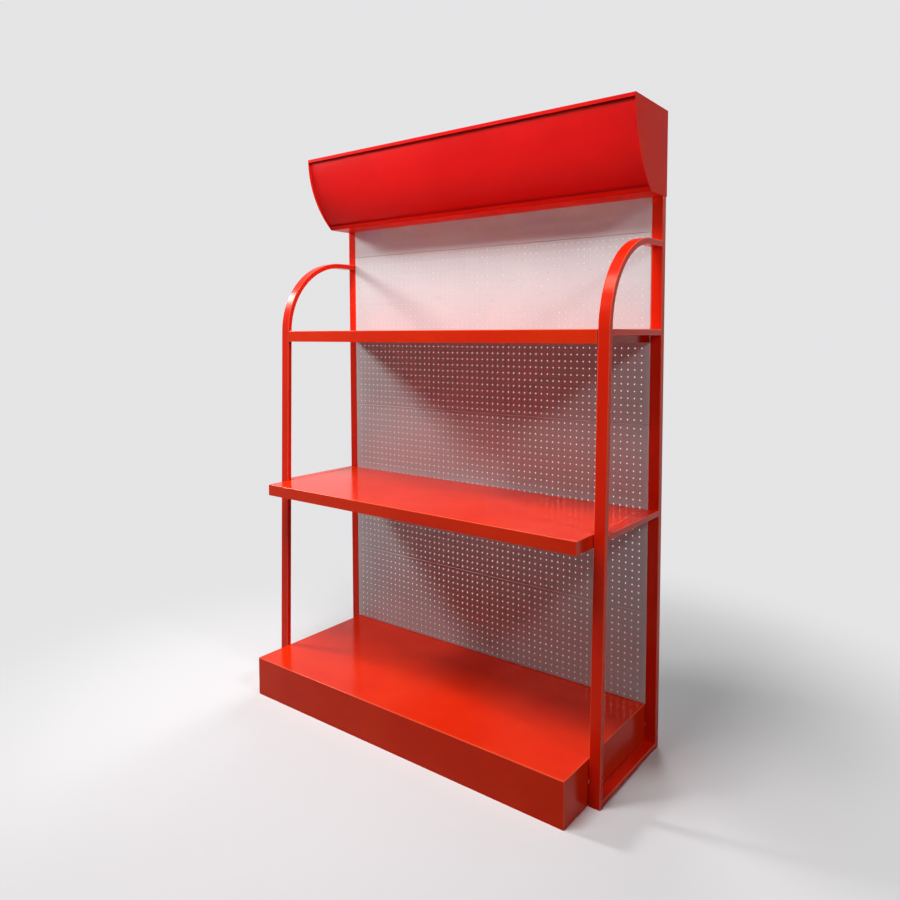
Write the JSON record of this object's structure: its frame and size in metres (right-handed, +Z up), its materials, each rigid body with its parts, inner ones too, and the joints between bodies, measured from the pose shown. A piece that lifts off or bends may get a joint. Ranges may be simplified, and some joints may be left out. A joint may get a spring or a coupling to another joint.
{
  "type": "steel display stand",
  "caption": "Red steel shop display stand: bent tube side frames, plinth, two shelves, off-white perforated back panels and a curved header.",
  "frame": {"origin": "on the floor, in the middle of the stand's footprint", "axes": "+X across the stand to the right of someone facing its front, +Y from the front to the back panels, +Z up"},
  "size_m": [1.493, 0.604, 2.2],
  "materials": {
    "red_powder_coat": "satin powder coat",
    "white_powder_coat": "satin powder coat",
    "zinc_plated_steel": "zinc plated",
    "black_plastic": "moulded"
  },
  "bodies": {
    "root": {"left_front_tube": "red_powder_coat", "left_rear_post": "red_powder_coat", "left_bottom_rail": "red_powder_coat", "left_middle_rail": "red_powder_coat", "left_top_rail": "red_powder_coat", "left_header_cheek": "red_powder_coat", "right_front_tube": "red_powder_coat", "right_rear_post": "red_powder_coat", "right_bottom_rail": "red_powder_coat", "right_middle_rail": "red_powder_coat", "right_top_rail": "red_powder_coat", "right_header_cheek": "red_powder_coat", "plinth": "red_powder_coat", "middle_shelf": "red_powder_coat", "top_shelf": "red_powder_coat", "plinth_front_channel": "red_powder_coat", "plinth_rear_channel": "red_powder_coat", "middle_shelf_channel": "red_powder_coat", "top_shelf_channel": "red_powder_coat", "header_face": "red_powder_coat", "header_roof": "red_powder_coat", "header_floor": "red_powder_coat", "perforated_panel_1": "white_powder_coat", "perforated_panel_2": "white_powder_coat", "perforated_panel_3": "white_powder_coat", "perforated_panel_4": "white_powder_coat", "perforated_panel_5": "white_powder_coat", "plain_panel": "white_powder_coat", "bolts": "zinc_plated_steel", "spacers": "zinc_plated_steel", "panel_screws": "zinc_plated_steel", "header_screws": "zinc_plated_steel", "foot_plugs": "black_plastic"}
  },
  "joints": []
}
